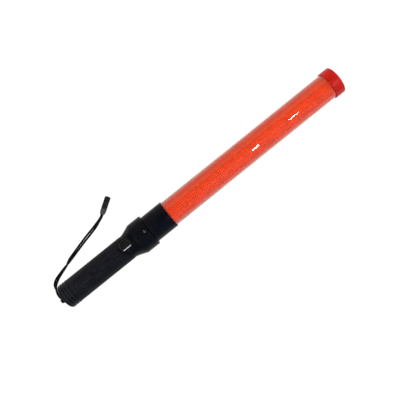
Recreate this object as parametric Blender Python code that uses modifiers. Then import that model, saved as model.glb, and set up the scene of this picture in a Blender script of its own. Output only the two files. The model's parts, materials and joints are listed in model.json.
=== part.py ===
"""Traffic baton light: a ribbed two-cell handle, a lit tube with a red tip, and a wrist strap.

The baton lies on its bell. +X runs along its axis from the butt to the tip, and +Z is up. The origin
is on the surface that it lies on, below the middle of its length. Units are metres. Stations along
the axis are measured from the tail cap's end face and given in millimetres times MM.
"""

from math import cos, pi, radians, sin

import bmesh
import bpy
from mathutils import Matrix, Vector

MM = 0.001

# Facets around a turned piece: outer pieces, inner pieces, small pieces. Each is a multiple of 4.
OUTER_SIDES = 32
INNER_SIDES = 24
SMALL_SIDES = 12
BELL_SIDES = 24  # flats wide enough that the baton doesn't roll away

# Lengths along the axis
BATON_LENGTH = 523.0 * MM
EYE_REACH = 6.5 * MM  # the strap eye stands this far behind the tail cap
CAP_LENGTH = 17.7 * MM
GRIP_START = 18.0 * MM
SPIGOT_START = 4.9 * MM
GRIP_END = 120.5 * MM
BELL_START = 139.0 * MM
BELL_END = 163.0 * MM
COLLAR_END = 201.0 * MM
TUBE_START = 170.1 * MM
TIP_START = 506.5 * MM
GAP = 0.3 * MM  # between pieces that touch

# Radii
CAP_RADIUS = 20.0 * MM
CAP_VALLEY = 19.2 * MM
SPIGOT_RADIUS = 18.0 * MM
GRIP_RADIUS = 19.6 * MM
GRIP_ROOT = 19.0 * MM
BELL_RADIUS = 26.1 * MM
BORE_RADIUS = 16.9 * MM
CAVITY_RADIUS = 21.0 * MM
COLLAR_RADIUS = 22.2 * MM
COLLAR_SPIGOT = 20.7 * MM
TUBE_RADIUS = 20.5 * MM
TUBE_WALL = 1.5 * MM
SLEEVE_RADIUS = 18.6 * MM
SLEEVE_WALL = 0.6 * MM
CELL_RADIUS = 16.3 * MM

# Handle details
RIB_COUNT = 40
RIB_SHAPE = ((0.0, GRIP_ROOT), (0.3, GRIP_ROOT), (0.45, GRIP_RADIUS), (0.85, GRIP_RADIUS))
CELL_LENGTH = 61.5 * MM
CELL_START = 12.0 * MM
BORE_END = 140.0 * MM
RING_PITCH = 5.1 * MM
RING_FIRST = 5.6 * MM
RING_COUNT = 3
STRIP_OUTSIDE = 17.1 * MM
STRIP_THICK = 0.25 * MM
STRIP_WIDTH = 4.0 * MM

# Switch, on a pad turned about the baton's axis towards the strap's side. Heights are from the axis.
SWITCH_ROLL = radians(12)
SWITCH_X = 123.0 * MM
POCKET_FLOOR = 17.6 * MM
SWITCH_BOARD_THICK = 0.8 * MM
SWITCH_BODY_HEIGHT = 1.7 * MM
STEM_HEIGHT = 1.7 * MM
BUTTON_TRAVEL = 0.9 * MM
FLANGE_THICK = 0.6 * MM
BEZEL_THICK = 1.1 * MM
BUTTON_TOP = 24.6 * MM
PAD_TOP = 22.5 * MM

# Fixing screw through the bell
SCREW_ROLL = radians(4)
SCREW_X = 158.0 * MM
SCREW_SEAT = 24.6 * MM  # the floor of its counterbore, from the axis

# Light
BOARD_FACE = 141.9 * MM  # front face of the round board in the bell
WIRE_PAIR = (("red", 1, "red_insulation"), ("black", -1, "black_insulation"))
LED_COUNT = 8
LED_FIRST = 200.0 * MM
LED_PITCH = 40.0 * MM
LED_BOARD_START = 152.0 * MM
LED_BOARD_END = 499.0 * MM
LED_BOARD_WIDTH = 10.0 * MM
LED_BOARD_THICK = 1.6 * MM
HOLDER_X = (179.5 * MM, 341.5 * MM, 495.5 * MM)
HOLDER_THICK = 3.0 * MM

# Strap eye on the tail cap
EYE_WIRE = 1.0 * MM  # radius of its bar
EYE_HALF_WIDTH = 6.0 * MM
EYE_CORNER = 2.0 * MM
HITCH_Y = -1.7 * MM

# Strap
CORD_DIAMETER = 2.8 * MM
CORD_STEP = 4.2 * MM
END_LENGTH = 28.0 * MM
END_WIDTH = 9.0 * MM
END_HEIGHT = 5.8 * MM
END_TURN = radians(32.8)
END_CENTRE = (130.8 * MM, 72.8 * MM)

# The route of the strap's two strands, chosen by hand: station from the butt, y, height of the lower
# strand, half of the distance between the strands, and how far they have turned round each other, in
# degrees. At 0 they lie side by side, and at 90 one lies on the other.
STRAP_ROUTE = (
    (-5.5, 0.9, 19.8, 1.60, 0),
    (-7.2, 5.6, 18.0, 1.60, 0),
    (-7.5, 10.8, 14.4, 1.75, 40),
    (-7.6, 16.3, 10.6, 1.95, 90),
    (-7.2, 21.3, 7.2, 1.85, 130),
    (-4.6, 26.2, 4.4, 1.65, 175),
    (1.4, 30.0, 2.6, 1.65, 205),
    (10.6, 33.2, 1.8, 1.60, 235),
    (19.8, 35.9, 1.5, 1.60, 252),
    (26.6, 37.8, 1.5, 1.60, 275),
    (31.3, 39.7, 1.5, 1.60, 312),
    (36.5, 41.5, 1.5, 1.60, 342),
    (46.4, 44.2, 1.5, 1.60, 356),
    (56.5, 46.9, 1.5, 1.65, 360),
    (68.8, 50.1, 1.5, 1.70, 360),
    (80.0, 52.7, 1.5, 1.80, 360),
    (92.0, 55.4, 1.5, 1.65, 364),
    (98.1, 56.9, 1.5, 1.60, 382),
    (102.6, 58.2, 1.5, 1.60, 405),
    (107.5, 59.9, 1.5, 1.60, 425),
    (113.8, 62.1, 1.5, 1.60, 430),
    (118.5, 65.0, 1.5, 1.60, 430),
)

AXIS_Z = BELL_RADIUS * cos(pi / BELL_SIDES)
ORIGIN_X = (BATON_LENGTH - EYE_REACH) / 2

FINISHES = {
    "black_abs": ((0.012, 0.013, 0.018), 0.42, 0.0),
    "black_rubber": ((0.02, 0.02, 0.022), 0.75, 0.0),
    "clear_plastic": ((0.95, 0.55, 0.5), 0.12, 0.0),
    "orange_film": ((0.85, 0.07, 0.025), 0.4, 0.0),
    "red_plastic": ((0.5, 0.006, 0.012), 0.35, 0.0),
    "white_plastic": ((0.85, 0.85, 0.83), 0.45, 0.0),
    "steel": ((0.62, 0.62, 0.64), 0.3, 1.0),
    "brass": ((0.75, 0.55, 0.22), 0.3, 1.0),
    "cell_wrap": ((0.05, 0.08, 0.16), 0.35, 0.2),
    "green_board": ((0.02, 0.16, 0.06), 0.45, 0.0),
    "led_red": ((0.75, 0.02, 0.02), 0.15, 0.0),
    "chip_black": ((0.02, 0.02, 0.02), 0.55, 0.0),
    "red_insulation": ((0.6, 0.02, 0.02), 0.5, 0.0),
    "black_insulation": ((0.015, 0.015, 0.015), 0.5, 0.0),
    "strap_cord": ((0.012, 0.012, 0.014), 0.85, 0.0),
}


def clear_scene():
    for obj in list(bpy.data.objects):
        bpy.data.objects.remove(obj)


def collection(name):
    made = bpy.data.collections.new(name)
    bpy.context.scene.collection.children.link(made)
    return made


def finish(name):
    """The named material, made once."""
    found = bpy.data.materials.get(name)
    if found:
        return found
    colour, roughness, metallic = FINISHES[name]
    made = bpy.data.materials.new(name)
    made.use_nodes = True
    shader = made.node_tree.nodes["Principled BSDF"]
    shader.inputs["Base Color"].default_value = (*colour, 1.0)
    shader.inputs["Roughness"].default_value = roughness
    shader.inputs["Metallic"].default_value = metallic
    made.diffuse_color = (*colour, 1.0)
    return made


def add(name, data, material=None):
    """A new object: a piece of the baton if it has a material, otherwise a cutter or a guide."""
    obj = bpy.data.objects.new(name, data)
    if material:
        PIECES.objects.link(obj)
        data.materials.append(finish(material))
    else:
        CUTTERS.objects.link(obj)
        obj.hide_render = True
        obj.display_type = "WIRE"
    return obj


def empty(name, x, roll=0.0):
    """A guide on the baton's axis, turned about it by roll towards +Y, that small pieces hang on."""
    obj = bpy.data.objects.new(name, None)
    PIECES.objects.link(obj)
    obj.location = (x - ORIGIN_X, 0, AXIS_Z)
    obj.rotation_euler = (-roll, 0, 0)
    return obj


def on_axis(obj):
    obj.location = (-ORIGIN_X, 0, AXIS_Z)
    return obj


def turned(name, outline, material=None, sides=OUTER_SIDES):
    """A piece turned about the baton's axis. The outline lists (x, radius) from the front backwards
    along the outer side, and forwards along the inner side. It closes unless it ends on the axis."""
    first = -pi / 2 + pi / sides
    mesh = bpy.data.meshes.new(name)
    points = [(x, r * cos(first), r * sin(first)) for x, r in outline]
    edges = [(i, i + 1) for i in range(len(points) - 1)]
    if outline[0][1] > 0 and outline[-1][1] > 0:
        edges.append((len(points) - 1, 0))
    mesh.from_pydata(points, edges, [])
    obj = add(name, mesh, material)
    turn_outline(obj, "X", sides)
    return on_axis(obj)


def turn_outline(obj, axis, sides):
    screw = obj.modifiers.new("turn", "SCREW")
    screw.axis = axis
    screw.steps = sides
    screw.render_steps = sides
    screw.use_merge_vertices = True
    screw.merge_threshold = 0.00001


def evaluated_mesh(obj):
    bpy.context.view_layer.update()
    graph = bpy.context.evaluated_depsgraph_get()
    mesh = bpy.data.meshes.new_from_object(obj.evaluated_get(graph))
    mesh.name = obj.name
    return mesh


def shape_from_curve(curve, material=None):
    """The curve made a closed mesh object in its place, with its caps welded on."""
    mesh = evaluated_mesh(curve)
    edit = bmesh.new()
    edit.from_mesh(mesh)
    bmesh.ops.remove_doubles(edit, verts=edit.verts, dist=0.000001)
    edit.to_mesh(mesh)
    edit.free()
    mesh.materials.clear()
    name, place, parent = curve.name, curve.matrix_world.copy(), curve.parent
    inverse = curve.matrix_parent_inverse.copy()
    local = curve.matrix_basis.copy()
    data = curve.data
    bpy.data.objects.remove(curve)
    bpy.data.curves.remove(data)
    obj = add(name, mesh, material)
    if parent:
        obj.parent = parent
        obj.matrix_parent_inverse = inverse
        obj.matrix_basis = local
    else:
        obj.matrix_world = place
    return obj


def slab(name, outlines, low, high, material=None, parent=None, at=(0, 0)):
    """A flat outline, with any holes as further outlines, made as thick as low to high along Z."""
    curve = bpy.data.curves.new(name, "CURVE")
    curve.dimensions = "2D"
    curve.fill_mode = "BOTH"
    curve.extrude = (high - low) / 2
    for outline in outlines:
        spline = curve.splines.new("POLY")
        spline.points.add(len(outline) - 1)
        for point, (x, y) in zip(spline.points, outline):
            point.co = (x, y, 0, 1)
        spline.use_cyclic_u = True
    obj = add(name, curve)
    obj.parent = parent
    obj.location = (at[0], at[1], (low + high) / 2)
    return shape_from_curve(obj, material)


def box(name, centre, size, material=None, parent=None):
    mesh = bpy.data.meshes.new(name)
    edit = bmesh.new()
    bmesh.ops.create_cube(edit, size=1.0, matrix=Matrix.Diagonal((*size, 1.0)))
    edit.to_mesh(mesh)
    edit.free()
    obj = add(name, mesh, material)
    obj.parent = parent
    obj.location = centre
    return obj


def post(name, low, high, radius, material=None, parent=None, sides=SMALL_SIDES, at=(0, 0)):
    """A round post along Z from low to high."""
    mesh = bpy.data.meshes.new(name)
    edit = bmesh.new()
    bmesh.ops.create_cone(
        edit, cap_ends=True, segments=sides, radius1=radius, radius2=radius, depth=high - low
    )
    edit.to_mesh(mesh)
    edit.free()
    obj = add(name, mesh, material)
    obj.parent = parent
    obj.location = (at[0], at[1], (low + high) / 2)
    return obj


def wire(name, points, radius, material=None, parent=None):
    """A round wire along straight runs between close points."""
    curve = bpy.data.curves.new(name, "CURVE")
    curve.dimensions = "3D"
    curve.bevel_depth = radius
    curve.bevel_resolution = 2
    curve.use_fill_caps = True
    spline = curve.splines.new("POLY")
    spline.points.add(len(points) - 1)
    for point, place in zip(spline.points, points):
        point.co = (*place[:3], 1)
    obj = add(name, curve)
    obj.parent = parent
    return shape_from_curve(obj, material)


def smooth_path(points, step):
    """Places about step apart on the smooth curve through the points (Catmull-Rom). Each point is a
    tuple whose first three numbers are its place, and any further ones vary along with it."""
    places = [Vector(p) for p in points]
    padded = [2 * places[0] - places[1], *places, 2 * places[-1] - places[-2]]
    fine = []
    for a, b, c, d in zip(padded, padded[1:], padded[2:], padded[3:]):
        for i in range(20):
            t = i / 20
            fine.append(
                0.5 * (2 * b + (c - a) * t + (2 * a - 5 * b + 4 * c - d) * t**2
                       + (3 * b - a - 3 * c + d) * t**3)
            )
    fine.append(places[-1])
    runs = [0.0]
    for a, b in zip(fine, fine[1:]):
        runs.append(runs[-1] + (Vector(b[:3]) - Vector(a[:3])).length)
    count = max(2, round(runs[-1] / step))
    spaced, k = [], 0
    for i in range(count + 1):
        target = runs[-1] * i / count
        while k < len(runs) - 2 and runs[k + 1] < target:
            k += 1
        share = (target - runs[k]) / (runs[k + 1] - runs[k])
        spaced.append(fine[k].lerp(fine[k + 1], min(share, 1.0)))
    return spaced


def combine(obj, other, operation):
    modifier = obj.modifiers.new(other.name, "BOOLEAN")
    modifier.operation = operation
    modifier.object = other
    modifier.solver = "EXACT"


def cut(obj, *others):
    for other in others:
        combine(obj, other, "DIFFERENCE")


def join(obj, *others):
    for other in others:
        combine(obj, other, "UNION")


def bevel(obj, width, segments=1, angle=radians(40)):
    modifier = obj.modifiers.new("edge", "BEVEL")
    modifier.width = width
    modifier.segments = segments
    modifier.limit_method = "ANGLE"
    modifier.angle_limit = angle


def round_rectangle(length, width, corner, steps=3):
    """The outline of a rectangle with round corners, centred, anticlockwise."""
    points = []
    for k in range(4):
        sx, sy = ((1, 1), (-1, 1), (-1, -1), (1, -1))[k]
        centre = (sx * (length / 2 - corner), sy * (width / 2 - corner))
        for i in range(steps + 1):
            angle = k * pi / 2 + i / steps * pi / 2
            points.append((centre[0] + corner * cos(angle), centre[1] + corner * sin(angle)))
    return points


def ribbed_outline():
    """The grip's section: flat-topped ribs round a circle."""
    points = []
    for rib in range(RIB_COUNT):
        for share, radius in RIB_SHAPE:
            angle = 2 * pi * (rib + share) / RIB_COUNT
            points.append((radius * cos(angle), radius * sin(angle)))
    return points


def flare_outline():
    """(x, radius) down the concave flare, from the bell back to the grip."""
    steps = 6
    rise = BELL_RADIUS - 0.5 * MM - GRIP_ROOT
    points = []
    for i in range(steps + 1):
        share = 1 - i / steps
        x = GRIP_END + (BELL_START - GRIP_END) * share
        points.append((x, GRIP_ROOT + rise * (1 - cos(share * pi / 2))))
    return points


def make_grip_housing():
    front = [
        (BELL_END, 0.0),
        (BELL_END, BELL_RADIUS - 0.8 * MM),
        (BELL_END - 0.8 * MM, BELL_RADIUS),
        (BELL_START + 1.5 * MM, BELL_RADIUS),
    ]
    core_start = GRIP_START + 1 * MM  # the turned core ends inside the ribbed core
    back = [
        (core_start, GRIP_ROOT - 0.3 * MM),
        (core_start, SPIGOT_RADIUS),
        (SPIGOT_START, SPIGOT_RADIUS),
        (SPIGOT_START, 0.0),
    ]
    housing = turned("grip_housing", front + flare_outline() + back, "black_abs", BELL_SIDES)

    ribs_end = GRIP_END + 1.5 * MM
    ribs = slab("rib_core", [ribbed_outline()], 0.0, ribs_end - GRIP_START)
    ribs.rotation_euler = (0, pi / 2, 0)
    ribs.location = ((GRIP_START + ribs_end) / 2 - ORIGIN_X, 0, AXIS_Z)
    switch_mount = bpy.data.objects["switch_mount"]
    pad = slab(
        "pad_core", [round_rectangle(19 * MM, 14.5 * MM, 4.5 * MM)], 15 * MM, PAD_TOP, None, switch_mount
    )
    join(housing, ribs, pad)
    cut(housing, bore_cutter(), strip_groove_cutter(), *switch_cutters(), *screw_cutters())


def bore_cutter():
    """The cell bore and the wider cavity inside the bell."""
    past = 2 * MM
    return turned(
        "bore_cutter",
        [
            (BELL_END + past, 0.0),
            (BELL_END + past, CAVITY_RADIUS),
            (BORE_END, CAVITY_RADIUS),
            (BORE_END, BORE_RADIUS),
            (SPIGOT_START - past, BORE_RADIUS),
            (SPIGOT_START - past, 0.0),
        ],
        None,
        INNER_SIDES,
    )


def strip_groove_cutter():
    """A groove for the contact strip along the underside of the bore."""
    top, bottom = 14 * MM, STRIP_OUTSIDE + GAP
    start, end = 2 * MM, 142 * MM
    return box(
        "strip_groove_cutter",
        ((start + end) / 2 - ORIGIN_X, 0, AXIS_Z - (top + bottom) / 2),
        (end - start, STRIP_WIDTH + 2 * GAP, bottom - top),
    )


def switch_cutters():
    """The pocket under the button, and the channel for its wires into the bell's cavity."""
    mount = bpy.data.objects["switch_mount"]
    outline = round_rectangle(15 * MM, 10.4 * MM, 3 * MM)
    pocket = slab("pocket_cutter", [outline], POCKET_FLOOR, BUTTON_TOP, None, mount)
    channel = box(
        "channel_cutter", (12.5 * MM, 0, POCKET_FLOOR + 1.5 * MM), (12 * MM, 4.4 * MM, 2.4 * MM), None, mount
    )
    return pocket, channel


def screw_cutters():
    mount = bpy.data.objects["screw_mount"]
    above = BELL_RADIUS + 4 * MM
    shank = post("screw_hole_cutter", 17 * MM, above, 1.4 * MM, None, mount)
    head = post("head_hole_cutter", SCREW_SEAT, above, 2.8 * MM, None, mount)
    return shank, head


def cap_rings():
    """(x, radius) over the tail cap's rings, from the front backwards."""
    points = []
    for k in reversed(range(RING_COUNT)):
        centre = RING_FIRST + k * RING_PITCH
        points += [
            (centre + 1.2 * MM, CAP_VALLEY),
            (centre + 0.6 * MM, CAP_RADIUS),
            (centre - 0.9 * MM, CAP_RADIUS),
            (centre - 1.7 * MM, CAP_VALLEY),
        ]
    return points


def make_tail_cap():
    floor, inside = 2.5 * MM, SPIGOT_RADIUS + GAP
    mouth = [(floor, 0.0), (floor, inside), (CAP_LENGTH, inside), (CAP_LENGTH, CAP_VALLEY)]
    end = [
        (2.6 * MM, CAP_RADIUS - 0.2 * MM),
        (1.0 * MM, CAP_RADIUS - 0.9 * MM),
        (0.0, CAP_RADIUS - 2.6 * MM),
        (0.0, 0.0),
    ]
    cap = turned("tail_cap", mouth + cap_rings() + end, "black_abs")

    bar_x = EYE_WIRE - EYE_REACH
    corner = [
        (
            bar_x + EYE_CORNER * (1 - sin(angle)),
            EYE_HALF_WIDTH - EYE_CORNER * (1 - cos(angle)),
            0,
        )
        for angle in (0, pi / 6, pi / 3, pi / 2)
    ]
    half = [(floor / 2, EYE_HALF_WIDTH, 0), *corner]
    eye = wire("strap_eye_core", half + [(x, -y, z) for x, y, z in reversed(half)], EYE_WIRE)
    join(cap, on_axis(eye))


def make_tail_parts():
    """The gasket, contact pan and spring that the tail cap carries."""
    face = 2.8 * MM
    rim = SPIGOT_START - GAP
    gasket_inner, pan_outer = 16.0 * MM, 15.4 * MM
    turned(
        "tail_gasket",
        [(rim, SPIGOT_RADIUS), (face, SPIGOT_RADIUS), (face, gasket_inner), (rim, gasket_inner)],
        "black_rubber",
        INNER_SIDES,
    )
    sheet = 0.5 * MM
    turned(
        "tail_contact",
        [
            (face + sheet, 0.0),
            (face + sheet, pan_outer - sheet),
            (rim, pan_outer - sheet),
            (rim, pan_outer),
            (face, pan_outer),
            (face, 0.0),
        ],
        "steel",
        INNER_SIDES,
    )
    radius, turns, per_turn = 0.7 * MM, 3.5, 10
    wide, narrow = 11 * MM, 7 * MM
    low, high = face + sheet + GAP + radius, CELL_START - GAP - radius
    count = int(turns * per_turn)
    points = []
    for i in range(count + 1):
        share = i / count
        rise = min(max((share * turns - 0.5) / (turns - 1), 0), 1)  # half a flat turn at each end
        reach = wide + (narrow - wide) * share
        angle = 2 * pi * share * turns
        points.append((low + (high - low) * rise, reach * cos(angle), reach * sin(angle)))
    on_axis(wire("tail_spring", points, radius, "steel"))


def make_cells():
    """Two D cells in line, with their positive ends to the front."""
    nub = 1.5 * MM
    for name, start in (("battery_rear", CELL_START), ("battery_front", CELL_START + CELL_LENGTH + GAP)):
        front = start + CELL_LENGTH
        turned(
            name,
            [
                (front, 0.0),
                (front, 4.6 * MM),
                (front - nub, 4.8 * MM),
                (front - nub, CELL_RADIUS - 1.2 * MM),
                (front - nub - 0.7 * MM, CELL_RADIUS),
                (start + 0.6 * MM, CELL_RADIUS),
                (start, CELL_RADIUS - 0.8 * MM),
                (start, 0.0),
            ],
            "cell_wrap",
            INNER_SIDES,
        )


def make_contacts():
    leg_inner = 13.8 * MM  # the strip's rear leg reaches in over the contact pan's rim
    inside = STRIP_OUTSIDE - STRIP_THICK
    outline = [
        (SPIGOT_START, -leg_inner),
        (SPIGOT_START, -STRIP_OUTSIDE),
        (BORE_END, -STRIP_OUTSIDE),
        (BORE_END, -inside),
        (SPIGOT_START + STRIP_THICK, -inside),
        (SPIGOT_START + STRIP_THICK, -leg_inner),
    ]
    strip = slab("contact_strip", [outline], -STRIP_WIDTH / 2, STRIP_WIDTH / 2, "brass")
    strip.rotation_euler = (pi / 2, 0, 0)
    on_axis(strip)

    plate = CELL_START + 2 * CELL_LENGTH + 2 * GAP
    plate_front = plate + 0.6 * MM
    rivet = 1.2 * MM
    turned(
        "front_contact",
        [
            (BORE_END, 0.0),
            (BORE_END, rivet),
            (plate_front, rivet),
            (plate_front, 6 * MM),
            (plate, 6 * MM),
            (plate, 0.0),
        ],
        "brass",
        SMALL_SIDES,
    )
    back, front, outer = plate_front + 0.4 * MM, BORE_END - 0.6 * MM, BORE_RADIUS - 0.4 * MM
    turned(
        "contact_carrier",
        [(front, rivet + GAP), (front, outer), (back, outer), (back, rivet + GAP)],
        "white_plastic",
        INNER_SIDES,
    )


def make_driver():
    """The round flasher board in the bell, with the parts on its front face."""
    turned(
        "driver_board",
        [
            (BOARD_FACE, 0.0),
            (BOARD_FACE, CAVITY_RADIUS - 0.7 * MM),
            (BORE_END + GAP, CAVITY_RADIUS - 0.7 * MM),
            (BORE_END + GAP, 0.0),
        ],
        "green_board",
        INNER_SIDES,
    )
    face = BOARD_FACE + GAP - ORIGIN_X
    chip_size = (1.7 * MM, 5 * MM, 4 * MM)
    box("driver_chip", (face + chip_size[0] / 2, 0, AXIS_Z - 9 * MM), chip_size, "chip_black")
    can_height = 7 * MM
    can = post("driver_capacitor", 0, can_height, 3 * MM, "chip_black")
    can.location = (face + can_height / 2, 9 * MM, AXIS_Z - 3 * MM)
    can.rotation_euler = (0, pi / 2, 0)
    resistor_radius = 1.1 * MM
    resistor = post("driver_resistor", 0, 6.5 * MM, resistor_radius, "white_plastic")
    resistor.location = (face + resistor_radius, -9.5 * MM, AXIS_Z - 3 * MM)


def make_switch():
    """From the pocket's floor up: board, body with its stem, button, and the bezel that keeps it in."""
    mount = bpy.data.objects["switch_mount"]
    board = POCKET_FLOOR + GAP
    body = board + SWITCH_BOARD_THICK + GAP
    stem = body + BUTTON_TRAVEL
    flange = stem + STEM_HEIGHT + GAP
    bezel = PAD_TOP + GAP
    box(
        "switch_board",
        (0, 0, board + SWITCH_BOARD_THICK / 2),
        (13 * MM, 8 * MM, SWITCH_BOARD_THICK),
        "green_board",
        mount,
    )
    case = box(
        "switch_body",
        (0, 0, body + SWITCH_BODY_HEIGHT / 2),
        (6.2 * MM, 6.2 * MM, SWITCH_BODY_HEIGHT),
        "chip_black",
        mount,
    )
    cut(case, post("stem_hole_cutter", body - 1 * MM, body + 3 * MM, 1.35 * MM, None, mount))
    post("switch_stem", stem, stem + STEM_HEIGHT, 1.0 * MM, "white_plastic", mount)

    crown = round_rectangle(12.2 * MM, 7.6 * MM, 3.6 * MM, 5)
    button = slab("switch_button", [crown], flange + GAP, BUTTON_TOP, "black_rubber", mount)
    bevel(button, 0.6 * MM, 2)
    skirt = round_rectangle(14.2 * MM, 9.6 * MM, 2.6 * MM)
    join(button, slab("button_flange", [skirt], flange, flange + FLANGE_THICK, None, mount))
    rim = round_rectangle(18 * MM, 13.5 * MM, 4.2 * MM, 5)
    window = round_rectangle(12.8 * MM, 8.2 * MM, 3.9 * MM, 5)
    slab("switch_bezel", [rim, window], bezel, bezel + BEZEL_THICK, "black_abs", mount)

    height = board + 1.2 * MM
    start, end = 6.8 * MM, BORE_END - SWITCH_X
    for name, side, material in WIRE_PAIR:
        y = side * 1.2 * MM
        points = [(start, y, height), ((start + end) / 2, y, height), (end, y, height)]
        wire(f"switch_wire_{name}", points, 0.5 * MM, material, mount)


def make_collar():
    """The collar that plugs into the bell and holds the tube, with its gasket and fixing screw."""
    seat, mouth = 168 * MM, TUBE_RADIUS + GAP
    lip = 18.2 * MM
    collar = turned(
        "tube_collar",
        [
            (COLLAR_END, COLLAR_RADIUS - 0.7 * MM),
            (COLLAR_END - 0.7 * MM, COLLAR_RADIUS),
            (BELL_END + GAP, COLLAR_RADIUS),
            (BELL_END + GAP, COLLAR_SPIGOT),
            (BOARD_FACE + GAP, COLLAR_SPIGOT),
            (BOARD_FACE + GAP, lip),
            (seat, lip),
            (seat, mouth),
            (COLLAR_END, mouth),
        ],
        "black_abs",
    )
    mount = bpy.data.objects["screw_mount"]
    cut(collar, post("collar_screw_hole_cutter", 17 * MM, 21.5 * MM, 1.4 * MM, None, mount))
    front, back, inner = TUBE_START - GAP, seat + GAP, TUBE_RADIUS - TUBE_WALL
    turned(
        "tube_gasket",
        [(front, TUBE_RADIUS), (back, TUBE_RADIUS), (back, inner), (front, inner)],
        "black_rubber",
    )
    make_screw(mount)


def make_screw(mount):
    """A cross-slotted pan head screw, through the bell into the collar."""
    head_low = SCREW_SEAT + GAP
    head_high = head_low + 1.5 * MM
    screw = post("collar_screw", 18.9 * MM, head_low + GAP, 1.1 * MM, "steel", mount)
    head = post("screw_head_core", head_low, head_high, 2.4 * MM, None, mount, 16)
    bevel(head, 0.5 * MM, 2)
    join(screw, head)
    long, thin, deep = 3.2 * MM, 0.7 * MM, 0.7 * MM
    for name, size in (("along", (long, thin, 2 * deep)), ("across", (thin, long, 2 * deep))):
        cut(screw, box(f"slot_cutter_{name}", (0, 0, head_high), size, None, mount))


def make_tube():
    """The clear tube, the prism sleeve inside it, the tip cap and the reflector behind it."""
    floor = BATON_LENGTH - 3 * MM
    end = floor - GAP
    sleeve_end = end - 2 * MM
    tube_inner, sleeve_inner = TUBE_RADIUS - TUBE_WALL, SLEEVE_RADIUS - SLEEVE_WALL
    turned(
        "outer_tube",
        [(end, TUBE_RADIUS), (TUBE_START, TUBE_RADIUS), (TUBE_START, tube_inner), (end, tube_inner)],
        "clear_plastic",
    )
    turned(
        "prism_sleeve",
        [
            (sleeve_end, SLEEVE_RADIUS),
            (TUBE_START, SLEEVE_RADIUS),
            (TUBE_START, sleeve_inner),
            (sleeve_end, sleeve_inner),
        ],
        "orange_film",
    )
    edge, round_edge = 0.4 * MM, 1.2 * MM
    turned(
        "tip_cap",
        [
            (BATON_LENGTH, 0.0),
            (BATON_LENGTH, COLLAR_RADIUS - round_edge),
            (BATON_LENGTH - round_edge, COLLAR_RADIUS),
            (TIP_START + edge, COLLAR_RADIUS),
            (TIP_START, COLLAR_RADIUS - edge),
            (TIP_START, TUBE_RADIUS + GAP),
            (floor, TUBE_RADIUS + GAP),
            (floor, 0.0),
        ],
        "red_plastic",
    )
    outer = sleeve_inner - GAP
    turned(
        "tip_reflector",
        [
            (508 * MM, 0.0),
            (508 * MM, outer),
            (LED_BOARD_END + 0.5 * MM, outer),
            (LED_BOARD_END + 0.5 * MM, outer - 0.9 * MM),
            (506.5 * MM, outer - 3 * MM),
            (506.5 * MM, 0.0),
        ],
        "white_plastic",
        INNER_SIDES,
    )


def make_light():
    """The long LED board, its three holders, the LEDs and the wires from the round board."""
    box(
        "led_board",
        ((LED_BOARD_START + LED_BOARD_END) / 2 - ORIGIN_X, 0, AXIS_Z),
        (LED_BOARD_END - LED_BOARD_START, LED_BOARD_WIDTH, LED_BOARD_THICK),
        "green_board",
    )
    outer = SLEEVE_RADIUS - SLEEVE_WALL - GAP
    slot_size = (2 * HOLDER_THICK, LED_BOARD_WIDTH + 2 * GAP, LED_BOARD_THICK + 2 * GAP)
    for k, x in enumerate(HOLDER_X, 1):
        front, back = x + HOLDER_THICK / 2, x - HOLDER_THICK / 2
        holder = turned(
            f"board_holder_{k}",
            [(front, 0.0), (front, outer), (back, outer), (back, 0.0)],
            "white_plastic",
            INNER_SIDES,
        )
        cut(holder, box(f"holder_slot_cutter_{k}", (x - ORIGIN_X, 0, AXIS_Z), slot_size))
    for k in range(LED_COUNT):
        make_led(k)
    start = BOARD_FACE + GAP
    end = LED_BOARD_START - GAP
    for name, side, material in WIRE_PAIR:
        route = [
            (start, 6.0 * side * MM, 7.0 * MM),
            (start + 1.8 * MM, 6.0 * side * MM, 7.0 * MM),
            (start + 4.8 * MM, 5.0 * side * MM, 4.0 * MM),
            (end - 2.1 * MM, 3.4 * side * MM, 0.6 * MM),
            (end, 3.2 * side * MM, 0.0),
        ]
        on_axis(wire(f"led_wire_{name}", smooth_path(route, 1.6 * MM), 0.6 * MM, material))


def make_led(k):
    """A round LED on the board, on its upper and lower faces by turns."""
    body, flange = 2.5 * MM, 2.9 * MM
    seat = LED_BOARD_THICK / 2 + GAP
    dome = seat + 5.5 * MM
    profile = [(dome + body * cos(a), body * sin(a)) for a in (0, pi / 8, pi / 4, 3 * pi / 8, pi / 2)]
    profile += [(seat + 1.1 * MM, body), (seat + 1.1 * MM, flange), (seat, flange), (seat, 0.0)]
    mesh = bpy.data.meshes.new(f"led_{k + 1}")
    mesh.from_pydata([(r, 0, z) for z, r in profile], [(i, i + 1) for i in range(len(profile) - 1)], [])
    led = add(f"led_{k + 1}", mesh, "led_red")
    turn_outline(led, "Z", SMALL_SIDES)
    led.location = (LED_FIRST + k * LED_PITCH - ORIGIN_X, 0, AXIS_Z)
    led.rotation_euler = (pi * (k % 2), 0, 0)


def strand_points(side):
    """One strand of the strap: it runs beside the other, turns round it, and lies on it or under it."""
    route = [
        (x * MM - ORIGIN_X, y * MM, z * MM, half * MM, radians(turn))
        for x, y, z, half, turn in STRAP_ROUTE
    ]
    middle = smooth_path(route, CORD_STEP)
    points = []
    for i, place in enumerate(middle):
        ahead = middle[min(i + 1, len(middle) - 1)]
        behind = middle[max(i - 1, 0)]
        along = Vector((ahead[0] - behind[0], ahead[1] - behind[1], 0)).normalized()
        across = Vector((-along.y, along.x, 0))
        half, turn = place[3], place[4]
        lift = Vector((0, 0, half * (abs(sin(turn)) + side * sin(turn))))
        points.append(Vector(place[:3]) + across * side * half * cos(turn) + lift)
    return points


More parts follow.
